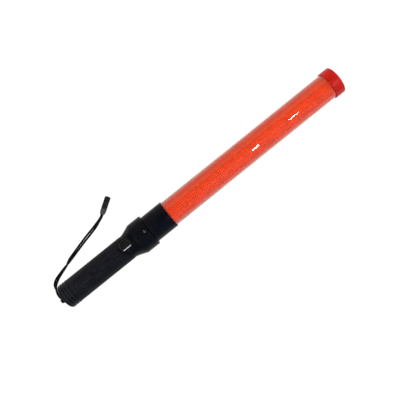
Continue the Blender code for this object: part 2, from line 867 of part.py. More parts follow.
def make_strap():
    """The hitch round the eye's bar, the two strands and the flat end piece."""
    half, inner, outer = 2.2 * MM, EYE_WIRE + GAP, 3.3 * MM
    round_edge = 0.7 * MM
    hitch = turned(
        "strap_hitch",
        [
            (half - round_edge, outer),
            (round_edge - half, outer),
            (-half, outer - round_edge),
            (-half, inner),
            (half, inner),
            (half, outer - round_edge),
        ],
        "strap_cord",
        16,
    )
    hitch.rotation_euler = (0, 0, pi / 2)
    hitch.location = (EYE_WIRE - EYE_REACH - ORIGIN_X, HITCH_Y, AXIS_Z)

    for name, side in (("strap_strand_a", 1), ("strap_strand_b", -1)):
        wire(name, strand_points(side), CORD_DIAMETER / 2, "strap_cord")

    bottom = 0.2 * MM
    outline = round_rectangle(END_LENGTH, END_WIDTH, 2.2 * MM)
    end = slab("strap_end", [outline], bottom, bottom + END_HEIGHT, "black_abs")
    bevel(end, 0.8 * MM)
    end.location.x = END_CENTRE[0] - ORIGIN_X
    end.location.y = END_CENTRE[1]
    end.rotation_euler = (0, 0, END_TURN)


def shade_pieces():
    """Shades every piece smooth, with its sharp edges kept."""
    for obj in PIECES.objects:
        if obj.type != "MESH":
            continue
        mesh = evaluated_mesh(obj)
        obj.modifiers.clear()
        obj.data = mesh
        mesh.shade_smooth()
        mesh.set_sharp_from_angle(angle=radians(35))


clear_scene()
PIECES = collection("traffic_baton_light")
CUTTERS = collection("cutters")
empty("switch_mount", SWITCH_X, SWITCH_ROLL)
empty("screw_mount", SCREW_X, SCREW_ROLL)
bpy.context.view_layer.update()
make_grip_housing()
make_tail_cap()
make_tail_parts()
make_cells()
make_contacts()
make_driver()
make_switch()
make_collar()
make_tube()
make_light()
make_strap()
shade_pieces()
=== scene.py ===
"""Looks of the traffic baton light.

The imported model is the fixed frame. This script adds the camera, the strap, a fine mesh for every
piece that shows, and a procedural material for every piece. +X runs along the baton from its butt to
its tip, and +Z is up. A station is a distance from the tail cap's end face. Lengths are in metres,
written as millimetres times MM.
"""

import json
from math import atan, ceil, cos, hypot, pi, radians, sin, tan

import bmesh
import bpy
from mathutils import Matrix, Vector


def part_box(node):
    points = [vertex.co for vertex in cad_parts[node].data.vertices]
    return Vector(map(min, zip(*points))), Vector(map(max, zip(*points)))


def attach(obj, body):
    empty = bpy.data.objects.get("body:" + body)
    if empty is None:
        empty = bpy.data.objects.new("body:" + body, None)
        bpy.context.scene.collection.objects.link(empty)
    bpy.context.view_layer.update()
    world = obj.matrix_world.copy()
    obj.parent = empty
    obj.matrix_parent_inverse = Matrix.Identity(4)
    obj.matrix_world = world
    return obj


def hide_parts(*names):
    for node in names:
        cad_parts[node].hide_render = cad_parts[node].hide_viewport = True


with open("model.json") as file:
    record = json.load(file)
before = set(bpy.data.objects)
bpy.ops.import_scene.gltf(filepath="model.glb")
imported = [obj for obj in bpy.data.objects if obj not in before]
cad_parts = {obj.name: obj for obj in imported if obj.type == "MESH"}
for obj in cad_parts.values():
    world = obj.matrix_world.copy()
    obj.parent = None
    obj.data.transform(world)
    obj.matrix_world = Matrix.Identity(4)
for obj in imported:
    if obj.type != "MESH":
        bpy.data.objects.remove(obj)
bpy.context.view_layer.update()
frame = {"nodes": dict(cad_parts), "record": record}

MM = 0.001
NODES = frame["nodes"]
RECORD = frame["record"]
BODIES = RECORD["behaviour"]["bodies"]
BODY_OF = {node: body for body, nodes in BODIES.items() for node in nodes}

# The frame's own places
BATON_LENGTH = 523.0 * MM
TIP_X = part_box("tip_cap")[1].x
BUTT_X = TIP_X - BATON_LENGTH
AXIS_Z = (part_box("outer_tube")[0].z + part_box("outer_tube")[1].z) / 2

# Camera: straight above, with the baton pointing up to the right
CAMERA_TURN = radians(38.83)
CAMERA_HEIGHT = 828 * MM  # above the baton's axis
CAMERA_PLACE = (-8.07 * MM, -13.0 * MM)
VIEW_HALF_WIDTH = 301.4 * MM  # half of what the frame spans at the axis

# Handle
COLUMNS = 320  # round the handle, eight to a rib
TURNED_SIDES = 160  # round the other turned pieces that show
RIB_COUNT = 40
GRIP_ROOT = 19.0 * MM
RIB_HEIGHT = 0.6 * MM
RIB_CREST = (19.3 * MM, 19.55 * MM)  # radii where the crests' hand wear and painted highlight set in, and where they are full
WEAR_AND_HIGHLIGHT_END = (114 * MM, 120 * MM)  # where that wear and painted highlight start to fade, and where they have gone
SPIGOT_START = 4.9 * MM
SPIGOT_RADIUS = 18.0 * MM
GRIP_START = 18.0 * MM
RIBS_END = 121.0 * MM
FLARE_START = 118.5 * MM
FLARE_END = 141.0 * MM
BELL_END = 163.0 * MM
BELL_RADIUS = AXIS_Z - 0.03 * MM  # it rests on the floor
BORE_RADIUS = 16.9 * MM
BORE_END = 140.0 * MM
CAVITY_RADIUS = 21.0 * MM
THREAD_PITCH = 3.0 * MM
THREAD_DEPTH = 0.5 * MM
THREAD_START = (5.6 * MM, 6.4 * MM)  # it runs in over this length
THREAD_END = (16.0 * MM, 17.2 * MM)
THREAD_ROWS = 44
STRIP_GROOVE = (140 * MM, 4.6 * MM, 0.3 * MM)  # for the contact strip: length, width, corner
STRIP_GROOVE_X = 72 * MM

# Switch, on a pad turned about the axis towards the strap's side. Heights are from the axis.
SWITCH_X = 123.0 * MM
SWITCH_ROLL = radians(12)
PAD_SIZE = (19.0 * MM, 14.5 * MM, 4.5 * MM)  # length, width, corner
PAD_TOP = 22.5 * MM
PAD_CLEARING = (26 * MM, 19 * MM, 8 * MM)  # round the pad, without ribs
POCKET_SIZE = (15.0 * MM, 10.4 * MM, 3.0 * MM)
POCKET_FLOOR = 17.6 * MM
WIRE_CHANNEL = (12 * MM, 4.4 * MM, 1 * MM)
WIRE_CHANNEL_AHEAD = 12.5 * MM
BEZEL_SIZE = (18.0 * MM, 13.5 * MM, 4.2 * MM)
WINDOW_SIZE = (12.8 * MM, 8.2 * MM, 3.9 * MM)
BUTTON_SIZE = (12.2 * MM, 7.6 * MM, 3.6 * MM)
FLANGE_SIZE = (14.2 * MM, 9.6 * MM, 2.6 * MM)
BUTTON_TOP = 24.6 * MM
BUTTON_RIDGE = 0.25 * MM

# Fixing screw
SCREW_X = 158.0 * MM
SCREW_ROLL = radians(4)
SCREW_SEAT = 24.6 * MM

# Light
COLLAR_END = 201.0 * MM
COLLAR_RADIUS = 22.2 * MM
COLLAR_ROOT = (142.2 * MM, 20.7 * MM, 18.2 * MM)  # inside the bell: its end, outer radius and bore
COLLAR_STEP = 168 * MM  # where the bore widens for the tube
TUBE_START = 170.1 * MM
TUBE_END = 519.7 * MM
TUBE_RADIUS = 20.5 * MM
TUBE_WALL = 1.5 * MM
MOUTH_RADIUS = TUBE_RADIUS + 0.3 * MM  # of the pieces that hold the tube
SLEEVE_RADIUS = 18.6 * MM
SLEEVE_WALL = 0.6 * MM
SLEEVE_END = 517.7 * MM
CELLS_ROUND = 36  # of the prism film
TIP_START = 506.5 * MM
TIP_FLOOR = 520 * MM
CELLS_X = 12 * MM  # the butt end of the two battery cells
CELL_LENGTH = 61.8 * MM

# Tail cap
CAP_LENGTH = 17.7 * MM
CAP_RADIUS = 20.0 * MM
CAP_VALLEY = 19.2 * MM
RING_FIRST = 5.6 * MM
RING_PITCH = 5.1 * MM
RING_COUNT = 3
EYE_WIRE = 1.0 * MM
EYE_REACH = 6.5 * MM
EYE_HALF_WIDTH = 6.0 * MM
EYE_CORNER = 2.0 * MM

# Strap
CORD_DIAMETER = 2.8 * MM
CORD_STEP = 4.2 * MM
CORD_SIDES = 16
CORD_FUZZ = 0.22 * MM  # the depth of the loose fibres round a strand
BRAID_STEP = 0.4 * MM
YARNS = 4  # in each direction round a strand
YARN_PITCH = 2.0 * MM
YARN_HEIGHT = 0.09 * MM
# The CAD's route of the strands: station, y, height of the lower strand, half of the distance
# between them, all in millimetres, and how far they have turned round each other, in degrees
STRAP_ROUTE = (
    (-5.5, 0.9, 19.8, 1.60, 0),
    (-7.2, 5.6, 18.0, 1.60, 0),
    (-7.5, 10.8, 14.4, 1.75, 40),
    (-7.6, 16.3, 10.6, 1.95, 90),
    (-7.2, 21.3, 7.2, 1.85, 130),
    (-4.6, 26.2, 4.4, 1.65, 175),
    (1.4, 30.0, 2.6, 1.65, 205),
    (10.6, 33.2, 1.8, 1.60, 235),
    (19.8, 35.9, 1.5, 1.60, 252),
    (26.6, 37.8, 1.5, 1.60, 275),
    (31.3, 39.7, 1.5, 1.60, 312),
    (36.5, 41.5, 1.5, 1.60, 342),
    (46.4, 44.2, 1.5, 1.60, 356),
    (56.5, 46.9, 1.5, 1.65, 360),
    (68.8, 50.1, 1.5, 1.70, 360),
    (80.0, 52.7, 1.5, 1.80, 360),
    (92.0, 55.4, 1.5, 1.65, 364),
    (98.1, 56.9, 1.5, 1.60, 382),
    (102.6, 58.2, 1.5, 1.60, 405),
    (107.5, 59.9, 1.5, 1.60, 425),
    (113.8, 62.1, 1.5, 1.60, 430),
    (118.5, 65.0, 1.5, 1.60, 430),
)
END_LENGTH = 28.0 * MM
END_WIDTH = 9.0 * MM
END_LOW = 0.2 * MM
END_HIGH = 6.0 * MM
END_OVERLAP = 1.8 * MM  # how far the end piece reaches back over the strands
END_GREYED = (-8 * MM, -4 * MM)  # from its centre: fully paler up to here, and not at all from here on
END_TURN = radians(32.8)
END_CENTRE = (130.8 * MM, 72.8 * MM)


# Meshes


def put(name, mesh, material):
    """The mesh as an object of the scene. A cutter has no material."""
    obj = bpy.data.objects.new(name, mesh)
    bpy.context.scene.collection.objects.link(obj)
    if material:
        mesh.materials.append(material)
    return obj


def smooth(obj, angle=32):
    """Shades the object smooth, with its edges over this many degrees left sharp."""
    obj.data.shade_smooth()
    obj.data.set_sharp_from_angle(angle=radians(angle))
    return obj


def stand_in(piece, *nodes):
    """The piece takes the place of these CAD nodes, and moves with them."""
    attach(piece, BODY_OF[nodes[0]])
    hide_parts(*nodes)


def grid(name, rows, material, around=True, closed=False, uv=None):
    """A mesh over rows of points. Each row runs round if around, and the last row joins the first if
    closed. A row of one point is a pole. uv gives (u, v) for the row's and the column's number."""
    verts, starts = [], []
    for row in rows:
        starts.append(len(verts))
        verts += row
    faces, corners = [], []
    count = len(rows)
    for i in range(count if closed else count - 1):
        j = (i + 1) % count
        a, b = rows[i], rows[j]
        columns = max(len(a), len(b))
        for k in range(columns if around else columns - 1):
            n = (k + 1) % columns
            face = [(i, k), (i, n), (j, n), (j, k)]
            if len(a) == 1:
                face = [(i, 0), (j, n), (j, k)]
            elif len(b) == 1:
                face = [(i, k), (i, n), (j, 0)]
            faces.append([starts[r] + c for r, c in face])
            corners += [(i if r == i else i + 1, k if c == k else k + 1) for r, c in face]
    mesh = bpy.data.meshes.new(name)
    mesh.from_pydata(verts, [], faces)
    if uv:
        layer = mesh.uv_layers.new(name="surface")
        for loop, (r, c) in zip(layer.data, corners):
            loop.uv = uv(r, c)
    obj = put(name, mesh, material)
    face_outwards(obj)
    return obj


def face_outwards(obj):
    edit = bmesh.new()
    edit.from_mesh(obj.data)
    bmesh.ops.recalc_face_normals(edit, faces=edit.faces)
    edit.to_mesh(obj.data)
    edit.free()


def rounded(outline, steps=4):
    """The outline with the corners rounded that give a third number, their fillet's radius."""
    points = []
    count = len(outline)
    for i, corner in enumerate(outline):
        here = Vector(corner[:2])
        radius = corner[2] if len(corner) > 2 else 0
        if not radius:
            points.append(tuple(here))
            continue
        before = (Vector(outline[i - 1][:2]) - here).normalized()
        after = (Vector(outline[(i + 1) % count][:2]) - here).normalized()
        half = before.angle(after) / 2
        centre = here + (before + after).normalized() * (radius / sin(half))
        start = here + before * (radius / tan(half)) - centre
        turn = start.angle_signed(here + after * (radius / tan(half)) - centre)
        for k in range(steps + 1):
            spoke = start.copy()
            spoke.rotate(Matrix.Rotation(-turn * k / steps, 2))
            points.append(tuple(centre + spoke))
    return points


def turned(name, outline, material):
    """A piece turned about the baton's axis, from (station, radius) points. An outline that neither
    starts nor ends on the axis closes on itself. UVs: along the outline in metres, and round."""
    rows = []
    for x, r in outline:
        if r <= 0:
            rows.append([Vector((BUTT_X + x, 0, AXIS_Z))])
            continue
        angles = [2 * pi * k / TURNED_SIDES for k in range(TURNED_SIDES)]
        rows.append([Vector((BUTT_X + x, r * cos(a), AXIS_Z + r * sin(a))) for a in angles])
    closed = outline[0][1] > 0 and outline[-1][1] > 0
    runs = [0.0]
    for a, b in zip(outline, outline[1:] + outline[:1]):
        runs.append(runs[-1] + hypot(b[0] - a[0], b[1] - a[1]))
    return smooth(
        grid(name, rows, material, closed=closed, uv=lambda r, c: (runs[r], c / TURNED_SIDES))
    )


def turned_post(name, outline, material):
    """A piece turned about Z, from (height, radius) points that start on the axis. Its top is flat."""
    sides = 48
    angles = [2 * pi * k / sides for k in range(sides)]
    rows = []
    for z, r in outline:
        rows.append([Vector((r * cos(a), r * sin(a), z)) for a in angles] if r else [Vector((0, 0, z))])
    rows.append([Vector((0, 0, outline[-1][0]))])
    return smooth(grid(name, rows, material))


def combine(obj, operation, *others):
    """The boolean of obj with the others, which are used up."""
    for other in others:
        modifier = obj.modifiers.new("cut", "BOOLEAN")
        modifier.operation = operation
        modifier.object = other
        modifier.solver = "EXACT"
    bpy.context.view_layer.update()
    graph = bpy.context.evaluated_depsgraph_get()
    mesh = bpy.data.meshes.new_from_object(obj.evaluated_get(graph))
    obj.modifiers.clear()
    obj.data = mesh
    for other in others:
        bpy.data.objects.remove(other)
    return obj


def mounted(obj, x, roll):
    """Moves a mesh made round the origin, with its height from the baton's axis along Z, to its place
    on the baton, turned about the axis towards +Y."""
    turn = Matrix.Rotation(-roll, 4, "X")
    obj.data.transform(Matrix.Translation((BUTT_X + x, 0, AXIS_Z)) @ turn)
    return obj


def round_rectangle(size, grow=0.0):
    """The outline of a rectangle with round corners, anticlockwise, moved outwards by grow."""
    steps = 8
    length, width, corner = (v + g * grow for v, g in zip(size, (2, 2, 1)))
    points = []
    for k, (sx, sy) in enumerate(((1, 1), (-1, 1), (-1, -1), (1, -1))):
        centre = (sx * (length / 2 - corner), sy * (width / 2 - corner))
        for i in range(steps + 1):
            angle = (k + i / steps) * pi / 2
            points.append((centre[0] + corner * cos(angle), centre[1] + corner * sin(angle)))
    return points


def stack(name, layers, material, closed=False):
    """A piece whose outlines, all with the same number of points, lie one above another. Each layer
    is (outline, height), where height is a number or a function of x and y. One that isn't closed
    gets a flat face at each end."""
    rows = []
    for outline, height in layers:
        rise = height if callable(height) else lambda x, y: height
        rows.append([Vector((x, y, rise(x, y))) for x, y in outline])
    if not closed:
        rows = [[middle(rows[0])], *rows, [middle(rows[-1])]]
    return smooth(grid(name, rows, material, closed=closed))


def middle(points):
    return sum(points, Vector()) / len(points)


def smooth_path(points, step):
    """Places about step apart on the smooth curve through the points (Catmull-Rom). Each point is a
    tuple whose first three numbers are its place, and any further ones vary along with it."""
    places = [Vector(p) for p in points]
    padded = [2 * places[0] - places[1], *places, 2 * places[-1] - places[-2]]
    fine, steps = [], 20
    for a, b, c, d in zip(padded, padded[1:], padded[2:], padded[3:]):
        for i in range(steps):
            t = i / steps
            fine.append(
                0.5 * (2 * b + (c - a) * t + (2 * a - 5 * b + 4 * c - d) * t**2
                       + (3 * b - a - 3 * c + d) * t**3)
            )
    fine.append(places[-1])
    runs = [0.0]
    for a, b in zip(fine, fine[1:]):
        runs.append(runs[-1] + (Vector(b[:3]) - Vector(a[:3])).length)
    count = max(2, round(runs[-1] / step))
    spaced, k = [], 0
    for i in range(count + 1):
        target = runs[-1] * i / count
        while k < len(runs) - 2 and runs[k + 1] < target:
            k += 1
        share = (target - runs[k]) / (runs[k + 1] - runs[k])
        spaced.append(fine[k].lerp(fine[k + 1], min(share, 1.0)))
    return spaced


def tube(name, path, radius, material, sides=CORD_SIDES, relief=None):
    """A round tube along the path, with flat ends. relief(run, angle) adds to its radius. UVs: the
    length along it in its own diameters, and once round."""
    side = None
    rows, runs = [], [0.0]
    for i, place in enumerate(path):
        along = (path[min(i + 1, len(path) - 1)] - path[max(i - 1, 0)]).normalized()
        if side is None:
            side = along.orthogonal()
        side = (side - along * side.dot(along)).normalized()
        up = along.cross(side)
        if i:
            runs.append(runs[-1] + (place - path[i - 1]).length)
        row = []
        for k in range(sides):
            angle = 2 * pi * k / sides
            reach = radius + (relief(runs[-1], angle) if relief else 0)
            row.append(place + (side * cos(angle) + up * sin(angle)) * reach)
        rows.append(row)
    rows = [[path[0]], *rows, [path[-1]]]
    runs = [0.0, *runs, runs[-1]]
    return smooth(
        grid(name, rows, material, uv=lambda r, c: (runs[r] / (2 * radius), c / sides)), 50
    )


def joined(name, *objects):
    """One object of all their meshes."""
    edit = bmesh.new()
    for obj in objects:
        edit.from_mesh(obj.data)
    mesh = bpy.data.meshes.new(name)
    edit.to_mesh(mesh)
    edit.free()
    whole = put(name, mesh, objects[0].data.materials[0])
    for obj in objects:
        bpy.data.objects.remove(obj)
    return whole


# Materials


class Look:
    """A material that is built up node by node on its Principled shader."""

    def __init__(self, name, values):
        self.material = bpy.data.materials.new(name)
        self.material.use_nodes = True
        self.tree = self.material.node_tree
        self.shader = self.tree.nodes["Principled BSDF"]
        self.fill(self.shader, values)

    def fill(self, node, values):
        """Each value is a plain one for its socket, or another node's output that feeds it."""
        for socket, value in values.items():
            if isinstance(value, bpy.types.NodeSocket):
                self.tree.links.new(value, node.inputs[socket])
            else:
                node.inputs[socket].default_value = value

    def add(self, kind, values, **settings):
        """A new node of this kind, with values for its sockets and settings for its menus."""
        node = self.tree.nodes.new("ShaderNode" + kind)
        for name, value in settings.items():
            setattr(node, name, value)
        self.fill(node, values)
        return node

    def places(self, scale=(1, 1, 1), source="Object"):
        """The surface's own coordinates. A scale below 1 stretches a pattern along that axis."""
        place = self.add("TexCoord", {}).outputs[source]
        return self.add("Mapping", {"Vector": place, "Scale": scale}).outputs["Vector"]

    def axes(self, source="Object"):
        """The place's X, Y and Z as three outputs."""
        return list(self.add("SeparateXYZ", {"Vector": self.places(source=source)}).outputs)

    def noise(self, size, stretch=(1, 1, 1), detail=4.0):
        """Smooth noise from 0 to 1, whose grains are about size across."""
        values = {"Vector": self.places(stretch), "Scale": 1 / size, "Detail": detail}
        return self.add("TexNoise", values).outputs["Fac"]

    def calc(self, operation, a, b=0.0):
        return self.add("Math", {0: a, 1: b}, operation=operation).outputs[0]

    def spread(self, value, low, high, start=0.35, end=0.65):
        """The value from start to end, stretched to go from low to high."""
        values = {"Value": value, "From Min": start, "From Max": end, "To Min": low, "To Max": high}
        return self.add("MapRange", values).outputs["Result"]

    def blend(self, share, first, second):
        """The first colour where share is 0, the second where it is 1. The first may be an output."""
        node = self.add("Mix", {}, data_type="RGBA")
        if not isinstance(first, bpy.types.NodeSocket):
            first = (*first, 1)
        self.fill(node, {0: share, 6: first, 7: (*second, 1)})
        return node.outputs[2]

    def bump(self, height, depth, strength=1.0, onto=None):
        """The normal of a relief this deep, on top of the normal given by onto."""
        values = {"Height": height, "Distance": depth, "Strength": strength}
        if onto:
            values["Normal"] = onto
        return self.add("Bump", values).outputs["Normal"]

    def finish(self, colour, roughness, normal):
        """Connects the three to the shader, and gives the material."""
        values = {"Base Color": colour, "Roughness": roughness, "Normal": normal}
        self.fill(self.shader, values)
        return self.material


def moulded_black():
    """Hard black plastic with a blue cast, a fine spark-eroded grain and handling marks, with its edges
    and rib crests painted lighter: partly wear, partly painted highlight.
    """
    look = Look("moulded_black", {"Specular IOR Level": 0.06})
    patch = look.noise(30 * MM, detail=2)
    grain = look.noise(0.35 * MM, detail=2)
    marks = look.noise(1.6 * MM, (0.12, 1, 1), detail=6)
    colour = look.blend(look.spread(patch, 0, 1), (0.0016, 0.0023, 0.0048), (0.0028, 0.0038, 0.0070))
    # Painted highlight, and wear: sharp convex edges are painted a lighter grey-blue.
    edges = look.add("NewGeometry", {}).outputs["Pointiness"]
    wear_and_highlight = look.calc("MULTIPLY", look.spread(edges, 0, 0.7, 0.53, 0.58), look.spread(marks, 0.3, 1))
    colour = look.blend(wear_and_highlight, colour, (0.035, 0.037, 0.045))
    # Painted highlight, and wear from the hand: the rib crests over the grip are painted lighter,
    # fading out before the flare.
    x, y, z = look.axes()
    height = look.calc("SUBTRACT", z, AXIS_Z)
    square = look.calc("ADD", look.calc("MULTIPLY", y, y), look.calc("MULTIPLY", height, height))
    grip_wear_and_highlight = look.spread(x, 1, 0, BUTT_X + WEAR_AND_HIGHLIGHT_END[0], BUTT_X + WEAR_AND_HIGHLIGHT_END[1])
    crest_wear_and_highlight = look.calc("MULTIPLY", grip_wear_and_highlight, look.spread(look.calc("SQRT", square), 0, 1, *RIB_CREST))
    wear_and_highlight = look.calc("MULTIPLY", crest_wear_and_highlight, look.spread(marks, 0.3, 1))
    colour = look.blend(wear_and_highlight, colour, (0.014, 0.0145, 0.019))
    normal = look.bump(marks, 0.015 * MM, 0.35, onto=look.bump(grain, 0.02 * MM, 0.6))
    return look.finish(colour, look.spread(marks, 0.22, 0.38), normal)


def bezel_black():
    """The switch's bezel: polished black, with a pale highlight painted along one long edge."""
    look = Look("bezel_black", {"Specular IOR Level": 0.2})
    x, y, z = look.axes()
    height = look.calc("SUBTRACT", z, AXIS_Z)
    across = look.calc("MULTIPLY", y, cos(SWITCH_ROLL))
    across = look.calc("SUBTRACT", across, look.calc("MULTIPLY", height, sin(SWITCH_ROLL)))
    # Painted highlight: a pale line along the bezel's long edge on the -Y side, fading out at both
    # ends.
    highlight_x = BUTT_X + SWITCH_X + 1.5 * MM
    along = look.calc("ABSOLUTE", look.calc("SUBTRACT", x, highlight_x))
    edge = look.spread(across, 1, 0, -5.7 * MM, -5.1 * MM)
    edge = look.calc("MULTIPLY", edge, look.spread(along, 1, 0, 7.0 * MM, 8.5 * MM))
    marks = look.noise(0.8 * MM, detail=4)
    wear_and_highlight = look.calc("MULTIPLY", edge, look.spread(marks, 0.35, 1))
    colour = look.blend(look.spread(marks, 0, 1), (0.0025, 0.0025, 0.0035), (0.005, 0.005, 0.006))
    colour = look.blend(wear_and_highlight, colour, (0.7, 0.7, 0.68))
    return look.finish(colour, look.spread(marks, 0.14, 0.26), look.bump(marks, 0.01 * MM, 0.3))


def soft_rubber():
    """Matt black rubber, for the button and the gaskets."""
    look = Look("soft_rubber", {"Specular IOR Level": 0.12})
    patch = look.noise(6 * MM)
    grain = look.noise(0.25 * MM, detail=3)
    colour = look.blend(look.spread(patch, 0, 1), (0.003, 0.003, 0.004), (0.006, 0.006, 0.007))
    return look.finish(colour, look.spread(grain, 0.6, 0.85), look.bump(grain, 0.03 * MM, 0.7))


def clear_acrylic():
    """The extruded tube, clear with a red tint, with faint draw lines and finger marks in its gloss.
    It lets the lamps' light through to the film without bending it."""
    look = Look("clear_acrylic", {"Transmission Weight": 1.0, "IOR": 1.49})
    lines = look.noise(0.9 * MM, (0.05, 1, 1), detail=2)
    marks = look.noise(14 * MM, detail=5)
    colour = look.blend(look.spread(marks, 0, 1), (0.74, 0.28, 0.22), (0.7, 0.25, 0.19))
    look.finish(colour, look.spread(marks, 0.0, 0.03), look.bump(lines, 0.03 * MM, 0.9))
    glass = look.shader.outputs[0]
    open_air = look.add("BsdfTransparent", {"Color": (0.98, 0.93, 0.92, 1)}).outputs[0]
    lamp_ray = look.add("LightPath", {}).outputs["Is Shadow Ray"]
    mix = look.add("MixShader", {0: lamp_ray, 1: glass, 2: open_air}).outputs[0]
    output = look.tree.nodes["Material Output"]
    look.tree.links.new(mix, output.inputs["Surface"])
    return look.material


def prism_film():
    """Orange film embossed with small hexagonal prisms, whose borders are paler."""
    look = Look("prism_film", {"Specular IOR Level": 0.1})
    u, v, _ = look.axes("UV")
    pitch = 2 * pi * SLEEVE_RADIUS / CELLS_ROUND
    along = look.calc("MULTIPLY", u, 2 * pi / (pitch * cos(pi / 6)))
    across = look.calc("MULTIPLY", v, 2 * pi * CELLS_ROUND)
    waves = [look.calc("COSINE", across)]
    for sign in ("ADD", "SUBTRACT"):
        waves.append(look.calc("COSINE", look.calc(sign, look.calc("MULTIPLY", across, 0.5), along)))
    cells = look.calc("ADD", look.calc("ADD", waves[0], waves[1]), waves[2])
    facet = look.spread(cells, 0, 1, -1.5, 3.0)
    patch = look.noise(26 * MM, (0.4, 1, 1), detail=3)
    specks = look.noise(1.2 * MM, detail=1)
    colour = look.blend(look.spread(patch, 0, 1), (0.84, 0.13, 0.018), (0.77, 0.11, 0.015))
    colour = look.blend(facet, colour, (1.0, 0.45, 0.12))
    colour = look.blend(look.spread(specks, 0, 0.3, 0.5, 0.7), colour, (0.6, 0.035, 0.008))
    return look.finish(colour, look.spread(specks, 0.6, 0.8), look.bump(facet, 0.3 * MM, 0.6))


def red_moulding():
    """The tip cap's red plastic, with a fine grain and light handling marks."""
    look = Look("red_moulding", {"Specular IOR Level": 0.12})
    patch = look.noise(12 * MM)
    grain = look.noise(0.5 * MM, detail=2)
    marks = look.noise(2 * MM, (0.2, 1, 1), detail=5)
    colour = look.blend(look.spread(patch, 0, 1), (0.42, 0.006, 0.003), (0.5, 0.012, 0.008))
    return look.finish(colour, look.spread(marks, 0.24, 0.4), look.bump(grain, 0.012 * MM, 0.4))


def braided_cord():
    """Black braid: the yarns cross in two directions round the cord, with loose fibres between."""
    look = Look("braided_cord", {"Specular IOR Level": 0.1})
    u, v, _ = look.axes("UV")
    along = look.calc("MULTIPLY", u, 2 * pi * 1.1)
    across = look.calc("MULTIPLY", v, 2 * pi * YARNS)
    one_way = look.calc("SINE", look.calc("ADD", across, along))
    other_way = look.calc("SINE", look.calc("SUBTRACT", across, along))
    weave = look.calc("MAXIMUM", one_way, other_way)
    fibres = look.noise(0.12 * MM, detail=3)
    raised = look.spread(weave, 0, 1, 0.1, 1.0)
    colour = look.blend(raised, (0.0015, 0.0015, 0.002), (0.007, 0.007, 0.009))
    colour = look.blend(look.spread(fibres, 0, 0.4, 0.6, 0.8), colour, (0.015, 0.015, 0.018))
    normal = look.bump(fibres, 0.03 * MM, 0.6, onto=look.bump(weave, 0.12 * MM, 0.8))
    return look.finish(colour, look.spread(fibres, 0.7, 0.95), normal)


def satin_sheath():
    """The strap's end piece: black plastic, scuffed in patches and paler grey towards the strands' end.
    """
    look = Look("satin_sheath", {"Specular IOR Level": 0.15})
    patch = look.noise(5 * MM, detail=3)
    scuffs = look.noise(0.9 * MM, (1, 0.3, 1), detail=6)
    colour = look.blend(look.spread(patch, 0, 1), (0.0025, 0.0028, 0.003), (0.006, 0.0062, 0.007))
    colour = look.blend(look.spread(scuffs, 0, 0.4, 0.55, 0.75), colour, (0.03, 0.03, 0.033))
    x, y, _ = look.axes()
    x = look.calc("MULTIPLY", look.calc("SUBTRACT", x, BUTT_X + END_CENTRE[0]), cos(END_TURN))
    y = look.calc("MULTIPLY", look.calc("SUBTRACT", y, END_CENTRE[1]), sin(END_TURN))
    # Paler grey towards the strands' end.
    greyed = look.spread(look.calc("ADD", x, y), 1, 0, *END_GREYED)
    greyed = look.calc("MULTIPLY", greyed, look.spread(scuffs, 0.2, 0.9))
    colour = look.blend(greyed, colour, (0.09, 0.09, 0.095))
    return look.finish(colour, look.spread(scuffs, 0.28, 0.5), look.bump(scuffs, 0.03 * MM, 0.5))


def brushed_metal(name, dark, light):
    look = Look(name, {"Metallic": 1.0})
    marks = look.noise(0.4 * MM, (0.1, 1, 1), detail=6)
    tarnish = look.noise(4 * MM, detail=4)
    colour = look.blend(look.spread(tarnish, 0, 1), dark, light)
    return look.finish(colour, look.spread(marks, 0.2, 0.4), look.bump(marks, 0.01 * MM, 0.4))


def black_oxide():
    """Blackened steel, bright where the finish has worn off the edges."""
    look = Look("black_oxide", {"Metallic": 1.0})
    edges = look.add("NewGeometry", {}).outputs["Pointiness"]
    wear_and_highlight = look.spread(edges, 0, 1, 0.53, 0.6)
    marks = look.noise(0.5 * MM, detail=5)
    colour = look.blend(look.spread(marks, 0, 1), (0.02, 0.02, 0.022), (0.05, 0.05, 0.055))
    colour = look.blend(wear_and_highlight, colour, (0.55, 0.55, 0.56))
    return look.finish(colour, look.spread(marks, 0.25, 0.4), look.bump(marks, 0.01 * MM, 0.4))


def plain_moulding(name, dark, light, roughness=(0.35, 0.5), values=None):
    look = Look(name, values or {})
    patch = look.noise(8 * MM)
    grain = look.noise(0.4 * MM, detail=3)
    colour = look.blend(look.spread(patch, 0, 1), dark, light)
    return look.finish(colour, look.spread(grain, *roughness), look.bump(grain, 0.015 * MM, 0.4))


def circuit_board():
    """Green solder mask over copper tracks, which show as paler raised lines."""
    look = Look("circuit_board", {"Coat Weight": 0.3, "Coat Roughness": 0.2})
    values = {"Vector": look.places(), "Scale": 1 / (2.4 * MM), "Randomness": 0.7}
    cells = look.add("TexVoronoi", values, distance="CHEBYCHEV", feature="F1").outputs["Distance"]
    tracks = look.spread(cells, 1, 0, 0.42, 0.48)
    grain = look.noise(0.3 * MM)
    colour = look.blend(tracks, (0.006, 0.09, 0.03), (0.012, 0.19, 0.06))
    return look.finish(colour, look.spread(grain, 0.3, 0.45), look.bump(tracks, 0.03 * MM, 0.5))


def cell_wrap():
    """A printed sleeve: a dark body with a copper band at one end."""
    look = Look("cell_wrap", {"Metallic": 0.4, "Coat Weight": 0.4, "Coat Roughness": 0.15})
    x = look.axes()[0]
    along = look.calc("DIVIDE", look.calc("SUBTRACT", x, BUTT_X + CELLS_X), CELL_LENGTH)
    band = look.spread(look.calc("FRACT", along), 0, 1, 0.7, 0.71)
    marks = look.noise(1.5 * MM, (0.2, 1, 1), detail=5)
    colour = look.blend(band, (0.015, 0.02, 0.05), (0.5, 0.2, 0.08))
    return look.finish(colour, look.spread(marks, 0.2, 0.4), look.bump(marks, 0.01 * MM, 0.3))


# Stage


